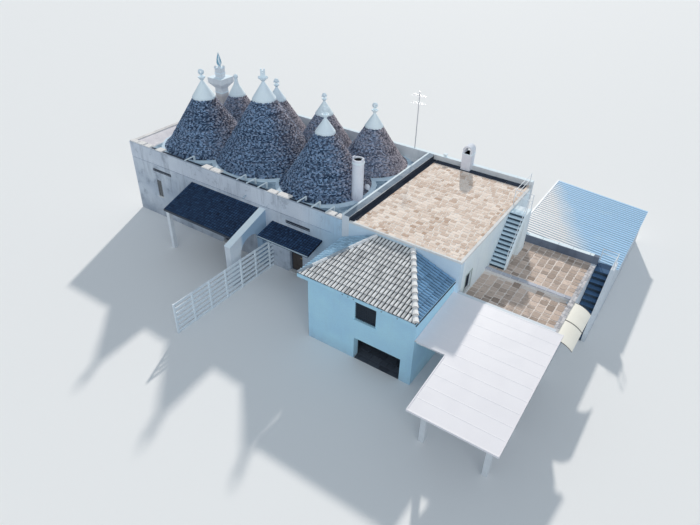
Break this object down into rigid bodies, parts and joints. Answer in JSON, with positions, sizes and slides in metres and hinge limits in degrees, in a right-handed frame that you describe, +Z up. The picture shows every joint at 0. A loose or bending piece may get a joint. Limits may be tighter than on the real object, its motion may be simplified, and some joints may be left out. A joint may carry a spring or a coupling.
{
  "type": "trullo house",
  "caption": "Whitewashed stone house with corbelled conical roofs, a flat roofed block, a tiled room, roof terrace, pergola, shed and outside stairs.",
  "frame": {"origin": "on the ground under the middle of the block that carries the cones", "axes": "+X along the front to the right, +Y to the back of the house, +Z up"},
  "size_m": [30.9594, 24.495, 10.477],
  "materials": {
    "whitewash": "matt limewash",
    "weathered_wall": "weathered limewash",
    "cone_stone": "rough dry stone",
    "roof_paving": "worn limestone slabs",
    "concrete": "rough",
    "roof_tiles": "limewashed clay tiles",
    "shingles": "dark bituminous shingles",
    "panel_metal": "matt cream paint",
    "sheet_metal": "pale blue paint",
    "white_metal": "white paint",
    "dark_joinery": "dark paint",
    "door_wood": "dark stain",
    "dark_glass": "dark pane",
    "awning_sheet": "cream rigid sheet",
    "screen_wood": "white painted timber",
    "glazed_finial": "glazed blue green",
    "mast_metal": "dull"
  },
  "bodies": {
    "root": {"main_front_wall": "weathered_wall", "main_back_wall": "whitewash", "main_left_wall": "whitewash", "middle_wall": "whitewash", "main_roof_deck": "concrete", "cone_front_left": "cone_stone", "cone_front_middle": "cone_stone", "cone_front_right": "cone_stone", "cone_back_left": "cone_stone", "cone_back_middle": "cone_stone", "cone_back_right": "cone_stone", "cone_right_end": "cone_stone", "cone_skirts": "whitewash", "cone_caps": "whitewash", "flat_front_wall": "whitewash", "flat_back_wall": "whitewash", "flat_right_wall": "whitewash", "flat_roof": "roof_paving", "roof_copings": "whitewash", "tile_front_wall": "whitewash", "tile_side_walls": "whitewash", "tile_roof": "roof_tiles", "floor_slabs": "concrete", "window_frames": "dark_joinery", "window_glass": "dark_glass", "door_leaves": "door_wood", "terrace_front_wall": "whitewash", "terrace_right_wall": "whitewash", "terrace_back_wall": "whitewash", "terrace_deck": "roof_paving", "upper_stair": "whitewash", "lower_stair": "whitewash", "lower_stair_wall": "whitewash", "railings": "white_metal", "shed_walls": "whitewash", "shed_roof": "sheet_metal", "pergola_posts": "panel_metal", "pergola_beams": "panel_metal", "pergola_rafters": "panel_metal", "pergola_roof": "panel_metal", "barrel_awning": "awning_sheet", "canopy_roofs": "shingles", "canopy_wing_wall": "whitewash", "canopy_posts": "white_metal", "slatted_screen": "screen_wood", "rear_chimney": "whitewash", "rear_finial": "glazed_finial", "roof_chimneys": "whitewash", "antenna_mast": "mast_metal"}
  },
  "joints": []
}
